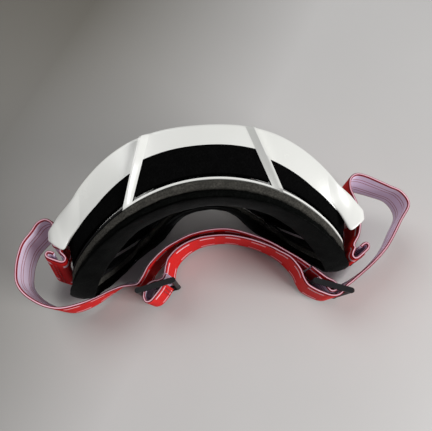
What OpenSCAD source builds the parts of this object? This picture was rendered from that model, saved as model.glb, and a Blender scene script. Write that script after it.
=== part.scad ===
// Motocross goggles, standing on their lower edge with the strap let out.
// +Y is the lens side, +X the wearer's right, +Z up. The table is z = 0.

/* [Frame] */
// Width of the front rim, without the strap bars
frame_w = 186; // [178:1:196]
// Height of the front rim at the middle
frame_h = 98; // [90:1:108]
// How far the rim's front edge stands ahead of its side ends
rim_bow = 54; // [46:1:60]
// Depth from the rim's front edge to the face flange, at the middle
frame_depth = 33; // [28:1:38]
// How far the face flange bows from its middle to its side ends
face_bow = 42; // [38:1:46]
// How far the soft face side is pulled askew, left end back and right end ahead
face_skew = 3; // [0:0.5:4]
// Width of the face flange ring
flange_span = 176; // [168:1:182]
// Wall of the frame shell
wall = 2.5; // [2:0.1:3.2]
// Depth of the lens lips inside the shell surface
lip_depth = 7; // [6.8:0.1:8]
// Depth of the lens groove bottom inside the shell surface
groove_depth = 4.8; // [4:0.1:5]
// Thickness of the face flange
flange_t = 2; // [1.6:0.2:2.6]
// Height of the two raised ribs over the shell
rib_rise = 3; // [2:0.25:4]

/* [Strap bars] */
// Room for the webbing between the shell and a strap bar
bar_gap = 3.3; // [3:0.1:3.8]
// Thickness of a strap bar
bar_t = 2.6; // [2.2:0.1:3]
// Width of a strap bar, front to back
bar_w = 14; // [10:0.5:15]

/* [Lens] */
// Thickness of the lens sheet
lens_t = 1.2; // [0.8:0.1:1.4]
// Radius of a tear-off post
post_r = 2.5; // [2:0.1:3]
// Length of a tear-off post ahead of the lens
post_l = 4; // [3:0.25:6]
// Distance of a tear-off post from the lens's side end
post_inset = 13; // [9:1:18]
// Height of the tear-off posts over the table
post_z = 54; // [48:1:60]

/* [Face foam] */
// Width of the face foam at the forehead
foam_w = 16; // [13:0.5:18]
// Thickness of the firm foam layer
firm_t = 5.5; // [4:0.5:7]
// Thickness of the soft foam layer
soft_t = 5; // [4:0.5:7]
// Thickness of the fleece lining
fleece_t = 1.4; // [1:0.1:2]
// Thickness of a vent foam sheet
vent_t = 3; // [2:0.25:4]

/* [Strap] */
// Width of the webbing
strap_w = 40; // [36:1:42]
// Thickness of the webbing
strap_t = 1.7; // [1.4:0.1:2]
// Height of the strap's top edge at the strap bars
strap_top = 69; // [67:1:70]
// Height of the strap's lower edge at the sliders
strap_low = 4; // [2:1:8]

/* [Sliders] */
// Length of a slider along the strap
slider_l = 27; // [24:1:30]
// Radius of the slider bars
slider_r = 1.6; // [1.2:0.1:1.8]
// Height of the slider rails over and under the webbing
rail_h = 2.6; // [2:0.2:3.4]
// Room between the webbing's edges and the rails
rail_gap = 0.8; // [0.4:0.1:1.2]

/* [Hidden] */
eps = 0.01;

// Half outlines of the two rings, seen from the front, from the middle of the
// forehead round to the middle of the nose arch. Each entry is the distance
// from the middle as a share of the half width, and the height as a share.
rim_half = [
    [0.00, 1.00], [0.17, 0.995], [0.33, 0.985], [0.50, 0.965], [0.67, 0.925],
    [0.82, 0.865], [0.93, 0.78], [0.985, 0.66], [1.00, 0.50], [0.97, 0.34],
    [0.885, 0.19], [0.76, 0.08], [0.60, 0.015], [0.455, 0.008], [0.345, 0.12],
    [0.24, 0.29], [0.13, 0.405], [0.00, 0.44]
];
flange_half = [
    [0.00, 0.965], [0.24, 0.955], [0.48, 0.925], [0.625, 0.885], [0.75, 0.825],
    [0.865, 0.74], [0.95, 0.635], [0.995, 0.52], [0.985, 0.40], [0.92, 0.27],
    [0.82, 0.14], [0.69, 0.045], [0.56, 0.01], [0.43, 0.025], [0.33, 0.14],
    [0.235, 0.31], [0.135, 0.43], [0.00, 0.475]
];
half_n = len(rim_half) - 1;
rim_front = 77;
flange_front = rim_front - frame_depth;

// Stations round the rings. Whole numbers are the outline points, 2 carries a rib.
rib_foot = 1.86;
rib_top = 2.12;
rib_edge = 2.21;
rib_out = 2.26;
half_stations = concat(
    [for (s = [0:0.31:1.6]) s], [rib_foot, rib_top, rib_edge, rib_out],
    [for (s = [2.6:0.4:17]) s]
);
stations = concat(half_stations,
    [for (k = [len(half_stations) - 2:-1:1]) 2 * half_n - half_stations[k]]);
station_n = len(stations);

function side_s(s) = s > half_n ? 2 * half_n - s : s;
function side_x(s) = s > half_n ? -1 : 1;
function spline(a, b, c, d, t) =
    0.5 * (2 * b + (c - a) * t + (2 * a - 5 * b + 4 * c - d) * t * t
    + (3 * b - a - 3 * c + d) * t * t * t);
function unit(v) = v / norm(v);
function ease(t) = let (c = max(0, min(1, t))) c * c * (3 - 2 * c);

// One point of a half outline, mirrored beyond both of its ends
function half_at(h, k) =
    k < 0 ? [-h[-k][0], h[-k][1]]
    : k > half_n ? [-h[2 * half_n - k][0], h[2 * half_n - k][1]] : h[k];
function outline(h, s) =
    let (q = side_s(s), k = min(floor(q), half_n - 1),
        p = spline(half_at(h, k - 1), half_at(h, k), half_at(h, k + 1),
            half_at(h, k + 2), q - k))
    [side_x(s) * p[0], p[1]];
// The ribs lean: how far their ends stand off station 2, in stations
function rib_lean(s, left, right) =
    let (q = side_s(s)) (side_x(s) < 0 ? -left : right) * ease((q - 0.4) / 1.5) * ease((4.2 - q) / 1.9);
function rim_pt(s) =
    let (p = outline(rim_half, s + rib_lean(s, 0.08, -0.16)))
    [p[0] * frame_w / 2, rim_front - rim_bow * pow(min(1.04, abs(p[0])), 2.65),
        p[1] * frame_h];
function flange_pt(s) =
    let (p = outline(flange_half, s + rib_lean(s, 0.14, 0)))
    [p[0] * flange_span / 2, flange_front - face_bow * pow(abs(p[0]), 2.05)
        + face_skew * p[0], p[1] * frame_h];

// Outward normal of the shell between the rings
function shell_n(s) =
    let (d = 0.15, t = rim_pt(s + d) - rim_pt(s - d) + flange_pt(s + d) - flange_pt(s - d))
    unit(cross(flange_pt(s) - rim_pt(s), t));
// A point on the shell: u runs 0 to 1 from rim to flange, o is outward
function shell(s, u, o) = rim_pt(s) * (1 - u) + flange_pt(s) * u + o * shell_n(s);
// A point on the face side: d is towards the face, w inward from the flange edge
function face_d(s) = unit([0.12 * flange_pt(s)[0] / (flange_span / 2), -1, 0]);
function face_in(s) =
    let (d = 0.15) unit(cross(flange_pt(s + d) - flange_pt(s - d), face_d(s)));
function face(s, d, w) = flange_pt(s) + d * face_d(s) + w * face_in(s);
function face_width(s) =
    foam_w * lookup(side_s(s), [[0, 1], [7, 0.95], [11, 0.85], [13, 0.6], [15, 0.42], [17, 0.42]]);
function foam_share(s) =
    lookup(side_s(s), [[0, 1], [11, 1], [13.4, 0.75], [15, 0.45], [17, 0.4]]);

// A closed solid from a grid of paired points, an outer and an inner one for
// each station and row, that keeps only the cells marked in keep
module ring_grid(pairs, keep) {
    n = len(pairs);
    m = len(pairs[0]);
    points = [for (i = [0:n - 1]) for (j = [0:m - 1]) for (k = [0:1]) pairs[i][j][k]];
    function at(i, j, k) = (((i + n) % n) * m + j) * 2 + k;
    function on(i, j) = j >= 0 && j < m - 1 && keep[(i + n) % n][j];
    faces = [
        for (i = [0:n - 1]) for (j = [0:m - 2]) if (on(i, j)) each concat(
            [[at(i, j, 0), at(i + 1, j + 1, 0), at(i, j + 1, 0)],
            [at(i, j, 0), at(i + 1, j, 0), at(i + 1, j + 1, 0)],
            [at(i, j, 1), at(i, j + 1, 1), at(i + 1, j + 1, 1)],
            [at(i, j, 1), at(i + 1, j + 1, 1), at(i + 1, j, 1)]],
            on(i, j - 1) ? [] : [[at(i, j, 1), at(i + 1, j, 0), at(i, j, 0)],
                [at(i, j, 1), at(i + 1, j, 1), at(i + 1, j, 0)]],
            on(i, j + 1) ? [] : [[at(i, j + 1, 0), at(i + 1, j + 1, 1), at(i, j + 1, 1)],
                [at(i, j + 1, 0), at(i + 1, j + 1, 0), at(i + 1, j + 1, 1)]],
            on(i - 1, j) ? [] : [[at(i, j, 0), at(i, j + 1, 1), at(i, j, 1)],
                [at(i, j, 0), at(i, j + 1, 0), at(i, j + 1, 1)]],
            on(i + 1, j) ? [] : [[at(i + 1, j, 1), at(i + 1, j + 1, 0), at(i + 1, j, 0)],
                [at(i + 1, j, 1), at(i + 1, j + 1, 1), at(i + 1, j + 1, 0)]])
    ];
    polyhedron(points, faces, convexity = 8);
}

// A closed solid from rings of points, one section after another
module loft(sections, closed) {
    n = len(sections);
    m = len(sections[0]);
    points = [for (s = sections) each s];
    last = closed ? n - 1 : n - 2;
    sides = [for (i = [0:last]) for (j = [0:m - 1])
        let (a = i * m + j, b = i * m + (j + 1) % m,
            c = ((i + 1) % n) * m + (j + 1) % m, d = ((i + 1) % n) * m + j)
        each [[a, b, c], [a, c, d]]];
    caps = closed ? [] : concat(
        [for (j = [1:m - 2]) [0, j + 1, j]],
        [for (j = [1:m - 2]) [(n - 1) * m, (n - 1) * m + j, (n - 1) * m + j + 1]]);
    polyhedron(points, concat(sides, caps), convexity = 8);
}

// Frame: one flexible moulding with lens groove, vents, ribs and face flange
// Where the band ends, from the rim to the flange: it widens beyond the ribs
function band_u(s) =
    lookup(side_s(s), [[0, 0.38], [1.9, 0.38], [2.2, 0.49], [3, 0.53], [4, 0.58],
        [5, 0.57], [6, 0.52], [7, 0.4], [7.5, 0.38], [17, 0.38]]);
side_top = 6;
side_low = 9.8;
function rib(s) =
    let (q = side_s(s))
    q <= rib_foot || q >= rib_out ? 0 : q < rib_top ? (q - rib_foot) / (rib_top - rib_foot) : 1;
// The side walls lie deeper behind the strap bars, where the sewn stops hang
function side_dip(s) =
    let (q = side_s(s)) -4 * ease((q - side_top) / 0.8) * ease((side_low - q) / 0.8);
function frame_pairs(s) =
    let (r = rib_rise * rib(s), g = side_dip(s), w = face_width(s))
    [
        [shell(s, 0.002, -1 + r / 3), shell(s, 0.005, -lip_depth + 1)],
        [shell(s, 0.025, r * 0.8), shell(s, 0.02, -lip_depth)],
        [shell(s, 0.05, r), shell(s, 0.05, -lip_depth)],
        [shell(s, 0.09, r), shell(s, 0.055, -groove_depth)],
        [shell(s, 0.14, r), shell(s, 0.145, -groove_depth)],
        [shell(s, 0.17, r), shell(s, 0.15, -lip_depth)],
        [shell(s, 0.20, r), shell(s, 0.19, -lip_depth)],
        [shell(s, 0.24, r + g / 3), shell(s, 0.22, -wall + g)],
        [shell(s, band_u(s), r + g), shell(s, band_u(s), -wall + g)],
        [shell(s, 0.965, r * 0.6 + g / 2), shell(s, 0.95, -wall + g / 2)],
        [face(s, 0, 0), face(s, -flange_t, wall)],
        [face(s, 0, w), face(s, -flange_t, w)]
    ];
function vent_open(s) =
    let (q = side_s(s))
    q < rib_foot || (q > rib_out - eps && q < side_top + 0.4) || (q > 10.1 && q < 12.4);
module frame() {
    color("white") union() {
        ring_grid([for (s = stations) frame_pairs(s)],
            [for (i = [0:station_n - 1]) [for (j = [0:10])
                let (a = stations[i], b = i + 1 < station_n ? stations[i + 1] : 2 * half_n)
                !(j == 8 && vent_open((a + b) / 2))]]);
        wing(1);
        wing(-1);
    }
}

// Wing: a roof that grows out of the band over the webbing's way, the strap bar
// that bridges it, and its foot under the webbing. Each cut has a rear edge, a
// front edge and its share of the full thickness.
bar_in = frame_w / 2 + bar_gap;
bar_mid = bar_in + bar_t / 2;
bar_y = rim_front - rim_bow + 0.7;
bar_low = strap_top - strap_w;
function wing_root(side, s, sink, share) =
    let (v = side > 0 ? s : 2 * half_n - s)
    [shell(v, band_u(v) - 0.02, side_dip(v) - sink), shell(v, 0.02, -sink), share];
function wing_cut(side, z, a, b) =
    [[side * (bar_mid + a[0]), bar_y - bar_w / 2 + a[1], z + a[2]],
        [side * (bar_mid + b[0]), bar_y + bar_w / 2 + b[1], z + b[2]], 1];
function wing_cuts(side) = [
    wing_root(side, 4.3, 1.1, 0.5), wing_root(side, 4.9, 0.7, 0.6), wing_root(side, 5.4, 0, 0.7),
    wing_cut(side, strap_top, [-13.3, 0.6, 3.6], [-9.2, 4.1, 6.6]),
    wing_cut(side, strap_top, [-11.4, -4.7, 3.4], [-6.4, 0.7, 5.2]),
    wing_cut(side, strap_top, [-7.4, -3, 3.1], [-4, -2.1, 4]),
    wing_cut(side, strap_top, [-3.4, -0.7, 2.6], [-1.8, -4.4, 2.7]),
    wing_cut(side, strap_top, [-0.2, 0.3, -0.8], [-0.1, -3.4, -0.8]),
    wing_cut(side, strap_top, [0.3, 0, -9], [0.4, -0.5, -9]),
    wing_cut(side, strap_top, [0.4, 0, -strap_w / 2], [0.5, 0, -strap_w / 2]),
    wing_cut(side, bar_low, [0.3, 0, 9], [0.4, 0, 9]),
    wing_cut(side, bar_low, [0, 0, 1], [0.1, -0.3, 1]),
    wing_cut(side, bar_low, [-1.9, 0.8, -3.2], [-1.5, 0.9, -3.4]),
    wing_cut(side, bar_low, [-6.1, 4.1, -6.2], [-5.4, 3.9, -6.6]),
    wing_root(side, 10.3, 0.8, 0.8), wing_root(side, 10.8, 1.1, 0.5)
];
function wing_at(cuts, t, e) =
    let (k = min(floor(t), len(cuts) - 2), n = len(cuts) - 1)
    spline(cuts[max(0, k - 1)][e], cuts[k][e], cuts[k + 1][e], cuts[min(n, k + 2)][e], t - k);
module wing(side) {
    cuts = wing_cuts(side);
    last = len(cuts) - 1;
    loft([for (i = [0:2 * last])
        let (t = i / 2, a = wing_at(cuts, t, 0), b = wing_at(cuts, t, 1),
            t0 = max(0, t - 0.1), t1 = min(last, t + 0.1),
            d = wing_at(cuts, t1, 0) + wing_at(cuts, t1, 1) - wing_at(cuts, t0, 0) - wing_at(cuts, t0, 1),
            n = unit(cross(d, b - a)) * side * bar_t / 2 * wing_at(cuts, t, 2), e = (b - a) * 0.1,
            ring = [a - n * 0.5, a + n * 0.5, a + e + n, b - e + n,
                b + n * 0.5, b - n * 0.5, b - e - n, a + e - n])
        side > 0 ? ring : [for (j = [7:-1:0]) ring[j]]], false);
}

// Vent foam sheets, glued behind the openings of the shell
module vent_sheet(a, b, steps) {
    o = -wall - 0.4;
    rows = [0.37, 0.53, 0.7, 0.885];
    color([0.07, 0.07, 0.07])
        loft([for (k = [0:steps])
            let (s = a + (b - a) * k / steps)
            concat([for (u = rows) shell(s, u, o - vent_t + side_dip(s))],
                [for (j = [3:-1:0]) shell(s, rows[j], o + side_dip(s))])],
            false);
}
module vent_foam_top_center() {
    vent_sheet(-1.8, 1.8, 16);
}
module vent_foam_top_right() {
    vent_sheet(2.33, 6.2, 16);
}
module vent_foam_top_left() {
    vent_sheet(2 * half_n - 6.2, 2 * half_n - 2.33, 16);
}
module vent_foam_bottom_right() {
    vent_sheet(10, 12.5, 10);
}
module vent_foam_bottom_left() {
    vent_sheet(2 * half_n - 12.5, 2 * half_n - 10, 10);
}

// Face foam: a cushion ring of two glued layers with a fleece lining
foam_stations = [for (s = [0:0.5:2 * half_n - 0.5]) s];
// A layer from depth a to depth b, drawn in by p at its sides and crowned by c
module foam_ring(a, b, p, c) {
    loft([for (s = foam_stations)
        let (f = foam_share(s), w = face_width(s), d0 = a * f + 0.45, d1 = b * f, m = (d0 + d1) / 2)
        [face(s, d0, w), face(s, m, w - p), face(s, d1 - c / 2 * f, w - p / 2),
            face(s, d1, w - 1.5 - p), face(s, d1 + c * f, w / 2), face(s, d1, 1.5 + p),
            face(s, d1 - c / 2 * f, p / 2), face(s, m, p), face(s, d0, 0)]], true);
}
module face_foam_firm() {
    color([0.25, 0.25, 0.24]) foam_ring(0, firm_t, 0.5, 0.01);
}
module face_foam_soft() {
    color([0.1, 0.1, 0.1]) foam_ring(firm_t, firm_t + soft_t, 0.5, 0.6);
}
module face_fleece() {
    a = firm_t + soft_t;
    b = a + fleece_t;
    g = 0.5;
    color([0.06, 0.06, 0.06])
        loft([for (s = foam_stations)
            let (f = foam_share(s), w = face_width(s))
            [face(s, b * f - 0.7, w + 0.4), face(s, b * f + 0.2, w - 2.2),
                face(s, b * f + 0.9, w / 2), face(s, b * f + 0.2, 2.2),
                face(s, b * f - 0.7, -0.4), face(s, (a - 0.3) * f + g, 0.25),
                face(s, a * f + g, 2), face(s, (a + 0.6) * f + g, w / 2),
                face(s, a * f + g, w - 2), face(s, (a - 0.3) * f + g, w - 0.25)]], true);
}

// Lens: one bent sheet that sits in the rim's groove
lens_u = 0.1;
lens_edge = groove_depth + 0.6;
lens_cols = 48;
upper = [for (s = [0:0.25:8]) shell(s, lens_u, -lens_edge)];
lower = [for (s = [half_n:-0.25:8]) shell(s, lens_u, -lens_edge)];
lens_mid = (lens_edge + lip_depth) / 2;
lens_half = shell(8, lens_u, -lens_edge)[0] - 0.5;
function lens_y(x) =
    let (a = lookup(abs(x), [for (s = [0:0.25:8]) let (p = shell(s, lens_u, -lens_mid)) [p[0], p[1]]]),
        b = lookup(abs(x), [for (s = [half_n:-0.25:8])
            let (p = shell(s, lens_u, -lens_mid)) [p[0], p[1]]]))
    (a + b) / 2 + (x < 0 ? 2 * lens_u * face_skew * x / (frame_w / 2) : 0);
function lens_hi(x) = lookup(abs(x), [for (p = upper) [p[0], p[2]]]);
function lens_lo(x) = lookup(abs(x), [for (p = lower) [p[0], p[2]]]);
module lens() {
    color([0.8, 0.85, 0.88, 0.4]) difference() {
        loft([for (k = [0:lens_cols])
            let (x = lens_half * sin(-90 + 180 * k / lens_cols), y = lens_y(x))
            [[x, y - lens_t / 2, lens_lo(x)], [x, y - lens_t / 2, lens_hi(x)],
                [x, y + lens_t / 2, lens_hi(x)], [x, y + lens_t / 2, lens_lo(x)]]], false);
        for (side = [-1, 1])
            post_place(side) translate([0, 0, -4]) cylinder(r = post_r - 0.6, h = 8, $fn = 48);
    }
}

// Tear-off posts: chamfered studs through the lens that hold tear-off films
post_x = lens_half - post_inset;
post_chamfer = 0.6;
post_slope = atan2(lens_y(post_x + 2) - lens_y(post_x - 2), 4);
module post_place(side) {
    translate([side * post_x, lens_y(post_x), post_z])
        rotate([0, 0, side * post_slope]) rotate([-90, 0, 0]) children();
}
module tear_off_post(side) {
    seat = lens_t / 2 + 0.3;
    color("gainsboro") post_place(side) {
        translate([0, 0, seat]) cylinder(r = post_r, h = post_l, $fn = 48);
        translate([0, 0, seat + post_l])
            cylinder(r1 = post_r, r2 = post_r - post_chamfer, h = post_chamfer, $fn = 48);
        translate([0, 0, -seat - 0.95]) cylinder(r = post_r - 0.75, h = seat * 2 + 1, $fn = 48);
        translate([0, 0, -seat - 1]) cylinder(r = post_r + 0.5, h = 1, $fn = 48);
    }
}
module tear_off_post_left() {
    tear_off_post(-1);
}
module tear_off_post_right() {
    tear_off_post(1);
}

// Webbing: a ribbon on edge along hand-laid points of its lower middle line.
// Each point holds x, y and z, then how far the top edge leans in x and in y.
high = strap_top - strap_w;
low = strap_low;
strap_steps = 3;
function route_at(r, k) = r[max(0, min(len(r) - 1, k))];
function route(r, t) =
    let (k = min(floor(t), len(r) - 2))
    spline(route_at(r, k - 1), route_at(r, k), route_at(r, k + 1), route_at(r, k + 2), t - k);
function route_dir(r, t) =
    let (e = 0.08, a = route(r, max(0, t - e)), b = route(r, min(len(r) - 1, t + e)))
    unit([b[0] - a[0], b[1] - a[1]]);
module webbing(r, steps = strap_steps) {
    n = (len(r) - 1) * steps;
    loft([for (i = [0:n])
        let (t = i / steps, p = route(r, t), d = route_dir(r, t),
            q = [-d[1], d[0], 0] * strap_t / 2, a = [p[0], p[1], p[2]],
            b = [p[0] + p[3], p[1] + p[4], p[2] + strap_w])
        [a + q, a - q, b - q, b + q]], false);
}

// Sewn stop: the webbing's end folded into a thick flat ring behind the bar.
// Its points lie along (p) and across (q) the ring from its middle.
stop_fold = [
    [2.2, 1.6], [4.3, 1.6], [6, 0.9], [6.2, -0.8], [4.5, -2], [0, -2.2],
    [-4.5, -2], [-6.2, -0.8], [-6, 1.1], [-4.2, 2.4], [-1.6, 3.5], [-0.3, 5.6]
];
function stop_route(c, a, lean, z) =
    [for (f = stop_fold)
        [c[0] + a[0] * f[0] - abs(a[1]) * sign(a[0]) * f[1], c[1] + a[1] * f[0] + abs(a[0]) * f[1],
            z, lean[0], lean[1]]];

left_stop = [-98.3, 1.6];
left_along = unit([-12, 5]);
left_lean = [5.6, 8.6];
bar_way = frame_w / 2 + bar_gap / 2;
left_route = concat(stop_route(left_stop, left_along, left_lean, high), [
    [-96.4, 11.5, high, 2.5, 5.5], [-bar_way, 17, high, 0, 2.5], [-bar_way, 22, high, 0, 1],
    [-bar_way, 27, high, 0, 0], [-bar_way - 0.9, 31.3, high, 0, 0], [-99.8, 33.8, high, 0, 0],
    [-105.5, 32, high, 1, 0], [-111.5, 27, high - 1, 3, 0], [-118, 20.5, high - 2, 4, 0],
    [-121.5, 13.5, high - 3.5, 4.5, 0], [-123.2, 6, high - 5, 4.5, 0], [-123.5, -2, high - 7, 4.5, 0],
    [-120, -8.5, high - 9.5, 3.5, 0.5], [-113.5, -14, high - 12, 2, 1], [-104, -18.5, high - 15, 0, 1],
    [-95, -20, high - 17.5, 0, 0], [-84, -17, low + 4, 0, -1], [-74, -11.2, low + 1.5, 0, -3.2],
    [-65.5, -6.6, low, 0, -3.6], [-58, -5.5, low, 0, -2.4], [-52, -5.9, low, 0, -1],
    [-48.2, -6.3, low, 0, 0], [-45.5, -3.6, low, 0, 0], [-43.3, 0, low, 0, 0],
    [-40.6, 4.5, low, 0, 0], [-36.5, 9, low, 0, 0], [-31.5, 13.5, low, 0, 0], [-25, 18.5, low, -0.5, -1],
    [-12, 25.5, low, 0, -2], [2, 28.5, low, 0, -2.5], [15, 28.5, low, 0, -3],
    [28.5, 25, low, 0, -4], [41, 20, low, 0, -5], [53, 11.5, low, 0, -4.5],
    [60, 5, low, 0, -3], [66, -2, low, 0, -1]
]);
module left_strap() {
    color("crimson") webbing(left_route);
}

right_stop = [96.2, 0.9];
right_along = unit([8, 6]);
right_lean = [-2.2, 1];
right_low = high - 5;
right_route = concat(stop_route(right_stop, right_along, right_lean, right_low), [
    [94.2, 10.5, high - 3, -1, 0.5], [bar_way - 0.2, 15.5, high - 0.8, -0.2, 0], [bar_way, 20, high, 0, 0],
    [bar_way, 25, high, 0, 0], [bar_way - 0.3, 30.5, high, 0, 0], [93, 36, high, 0, 0],
    [91.8, 41, high, 0, 0], [92.8, 46, high, 0, 1], [97, 50.5, high, 0, -0.5],
    [103, 51.5, high, 0, -3], [112, 49, high - 1, 0, -5], [119.5, 46.5, high - 2, -1.5, -5.5],
    [128.5, 43, high - 3.5, -4, -5], [134.5, 37, high - 6.5, -5, -4], [136, 29.5, high - 8.5, -6, -1],
    [131.5, 20, high - 12.5, -6, 1], [125.5, 9, high - 16.5, -6, 1.5], [118.5, 1, low + 5.5, -4, 2.5],
    [109.5, -6.5, low + 3, -3, 2.5], [99.5, -12, low + 1, -1.5, 1.5], [92, -14.8, low, 0, 0],
    [88, -17.4, low, 0, 0], [85.3, -20.6, low, 0, 0], [81.6, -22.8, low, 0, 0],
    [77.4, -22.6, low, -0.4, 0], [73.2, -20.7, low, -1.2, 0.2], [69, -18.3, low, -1.8, 0.4],
    [65, -15, low, -2, 0.4], [62.8, -10.2, low, -2, 0.2], [60.4, -3.6, low, -1.4, -0.2],
    [53.8, 5.6, low, 0, -1.8], [47, 11.6, low, 0, -3.2], [40.5, 15.6, low, 0, -3.2],
    [28, 21, low, 0, -3.2], [13, 24.2, low, 0, -2.6], [-2, 23.4, low, 0, -1.8],
    [-12, 19.6, low, 0, -0.8], [-20, 13.8, low, 0, 0], [-24.5, 8, low, 0, 0],
    [-26.4, 3.6, low, 0, 0], [-27.3, -0.9, low, 0, 0]
]);
module right_strap() {
    color("crimson") webbing(right_route);
}

// Strap ends: each webbing's end loops round the other side's middle bar
right_end_route = [
    [-27.5, -1.5, low, 0, 0], [-29.2, -3.9, low, 0, 0], [-32.8, -5.2, low, 0, 0],
    [-37, -5.6, low, 0, 0], [-41, -7.4, low, 0, 0], [-43.4, -11.4, low, 0, 0],
    [-44, -15.4, low, 0, 0], [-41.6, -18.4, low, 0, 0], [-37.6, -18, low, 0, 0],
    [-33.8, -14.8, low, 0, 0], [-30.8, -10.8, low, 0, 0], [-28.8, -7.2, low, 0, 0]
];
left_end_route = [
    [67.2, -3.4, low, 0, 0], [71.4, -7.4, low, 0, 0], [76, -11.4, low, 0, 0],
    [80.4, -14, low, 0, 0], [82, -16.8, low, 0, 0], [80.8, -19.4, low, 0, 0],
    [77.8, -19.8, low, 0, 0], [75.8, -17.6, low, 0, 0], [74, -14, low, 0, 0],
    [70.8, -10.4, low, 0, 0]
];
module right_strap_end() {
    color("crimson") webbing(right_end_route);
}
module left_strap_end() {
    color("crimson") webbing(left_end_route);
}

// Sliders: three upright bars between two rails, the webbing's edges between
left_slider_at = [-36, -8.7];
left_slider_turn = 13;
right_slider_at = [78.8, -16.8];
right_slider_turn = -20;
rail_w = 2 * slider_r + 0.4;
module slider(at, turn) {
    foot = strap_low - rail_gap - rail_h;
    top = strap_low + strap_w + rail_gap;
    reach = (slider_l - rail_w) / 2;
    bar_h = top - foot + rail_h - 1;
    color([0.12, 0.12, 0.13]) translate(at) rotate(turn) {
        for (x = [-1, 0, 1])
            translate([x * reach, 0, foot + 0.5]) cylinder(r = slider_r, h = bar_h, $fn = 48);
        for (z = [foot, top]) translate([0, 0, z]) {
            for (x = [-1, 1]) translate([x * reach, 0, 0]) cylinder(r = rail_w / 2, h = rail_h, $fn = 48);
            translate([-reach, -rail_w / 2, 0]) cube([2 * reach, rail_w, rail_h]);
        }
    }
}
module left_slider() {
    slider(left_slider_at, left_slider_turn);
}
module right_slider() {
    slider(right_slider_at, right_slider_turn);
}

// Stitching: rows of raised threads laid on a webbing's face
thread = 0.5;
stitch_pitch = 3.4;
module stitches(at, along, side, z, lean, rows) {
    turn = atan2(along[1], along[0]);
    count = floor((strap_w - 4) / stitch_pitch);
    color("white")
        for (row = [0:rows - 1]) for (k = [0:count - 1])
            let (h = 3 + k * stitch_pitch, f = h / strap_w)
            translate([at[0] + lean[0] * f, at[1] + lean[1] * f, z + h]) rotate(turn)
                translate([row * 2.4 - (rows - 1) * 1.2 - thread / 2,
                    side > 0 ? strap_t / 2 + 0.1 : -strap_t / 2 - thread - 0.1, 0])
                cube([thread, thread, stitch_pitch * 0.6]);
}
function stop_side(c, a) = [c[0] + abs(a[1]) * sign(a[0]) * 2.2, c[1] - abs(a[0]) * 2.2];
module left_stop_stitching() {
    stitches(stop_side(left_stop, left_along), [-left_along[0], -left_along[1]], -1, high, left_lean, 2);
}
module right_stop_stitching() {
    stitches(stop_side(right_stop, right_along), right_along, -1, right_low, right_lean, 2);
}
module left_end_stitching() {
    stitches([-30.8, -10.8], [2.5, 3.8], -1, low, [0, 0], 2);
}
module right_end_stitching() {
    stitches([72.4, -12.2], [3.2, -3.6], -1, low, [0, 0], 1);
}

frame();
lens();
tear_off_post_left();
tear_off_post_right();
vent_foam_top_center();
vent_foam_top_left();
vent_foam_top_right();
vent_foam_bottom_left();
vent_foam_bottom_right();
face_foam_firm();
face_foam_soft();
face_fleece();
left_strap();
right_strap();
left_stop_stitching();
right_stop_stitching();
left_slider();
right_strap_end();
left_end_stitching();
right_slider();
left_strap_end();
right_end_stitching();
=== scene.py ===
# Motocross goggles on a pale table, standing on the frame's lower edge with the strap let out.
# They are seen from above and behind, from the side of the wearer's face.
import math

import bmesh
import bpy
import numpy as np
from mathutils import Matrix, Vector, noise


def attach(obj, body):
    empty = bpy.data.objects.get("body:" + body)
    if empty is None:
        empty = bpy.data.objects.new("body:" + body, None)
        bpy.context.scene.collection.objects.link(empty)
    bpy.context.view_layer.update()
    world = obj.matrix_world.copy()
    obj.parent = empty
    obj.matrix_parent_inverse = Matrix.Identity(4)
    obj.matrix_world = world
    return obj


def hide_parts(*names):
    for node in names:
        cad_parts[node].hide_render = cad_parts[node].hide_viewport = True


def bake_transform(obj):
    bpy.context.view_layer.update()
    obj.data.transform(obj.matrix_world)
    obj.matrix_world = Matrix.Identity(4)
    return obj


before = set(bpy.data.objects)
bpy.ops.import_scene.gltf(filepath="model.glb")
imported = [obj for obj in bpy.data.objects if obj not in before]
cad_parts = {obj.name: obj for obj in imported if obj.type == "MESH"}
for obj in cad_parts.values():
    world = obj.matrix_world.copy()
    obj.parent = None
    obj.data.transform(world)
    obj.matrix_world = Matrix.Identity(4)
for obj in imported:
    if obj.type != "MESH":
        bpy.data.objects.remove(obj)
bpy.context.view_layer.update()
MM = 0.001


# Camera, table and light
# The photograph was taken by hand with a phone, almost straight down over the wearer's side, in a
# room with one large window to the right. The table is a satin white sheet. Beyond the goggles, to
# the left, a painted shadow greys it.
CAMERA_TARGET = (5.5, 22, 95)
CAMERA_AWAY = 252
CAMERA_ELEVATION = math.radians(75)
CAMERA_TURN = math.radians(4)

camera = bpy.data.objects.new("camera", bpy.data.cameras.new("camera"))
camera.data.lens = 37.5
camera.data.clip_start = 0.01
forward = Vector((
    math.sin(CAMERA_TURN) * math.cos(CAMERA_ELEVATION),
    math.cos(CAMERA_TURN) * math.cos(CAMERA_ELEVATION),
    -math.sin(CAMERA_ELEVATION),
))
camera.location = (Vector(CAMERA_TARGET) - forward * CAMERA_AWAY) * MM
camera.rotation_euler = forward.to_track_quat("-Z", "Y").to_euler()
bpy.context.scene.collection.objects.link(camera)
bpy.context.scene.camera = camera
bpy.context.scene.view_settings.view_transform = "Standard"


def colour(code):
    """An sRGB hex code as the linear colour that a socket takes."""
    parts = [int(code[i:i + 2], 16) / 255 for i in (1, 3, 5)]
    return [c / 12.92 if c <= 0.04045 else ((c + 0.055) / 1.055) ** 2.4 for c in parts] + [1]


def add(tree, kind, sockets=None, **settings):
    """Adds a shader node. A socket's value is a number, a colour or another node's output."""
    node = tree.nodes.new("ShaderNode" + kind)
    for name, value in settings.items():
        setattr(node, name, value)
    for name, value in (sockets or {}).items():
        if isinstance(value, bpy.types.NodeSocket):
            tree.links.new(value, node.inputs[name])
        else:
            node.inputs[name].default_value = value
    return node


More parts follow.
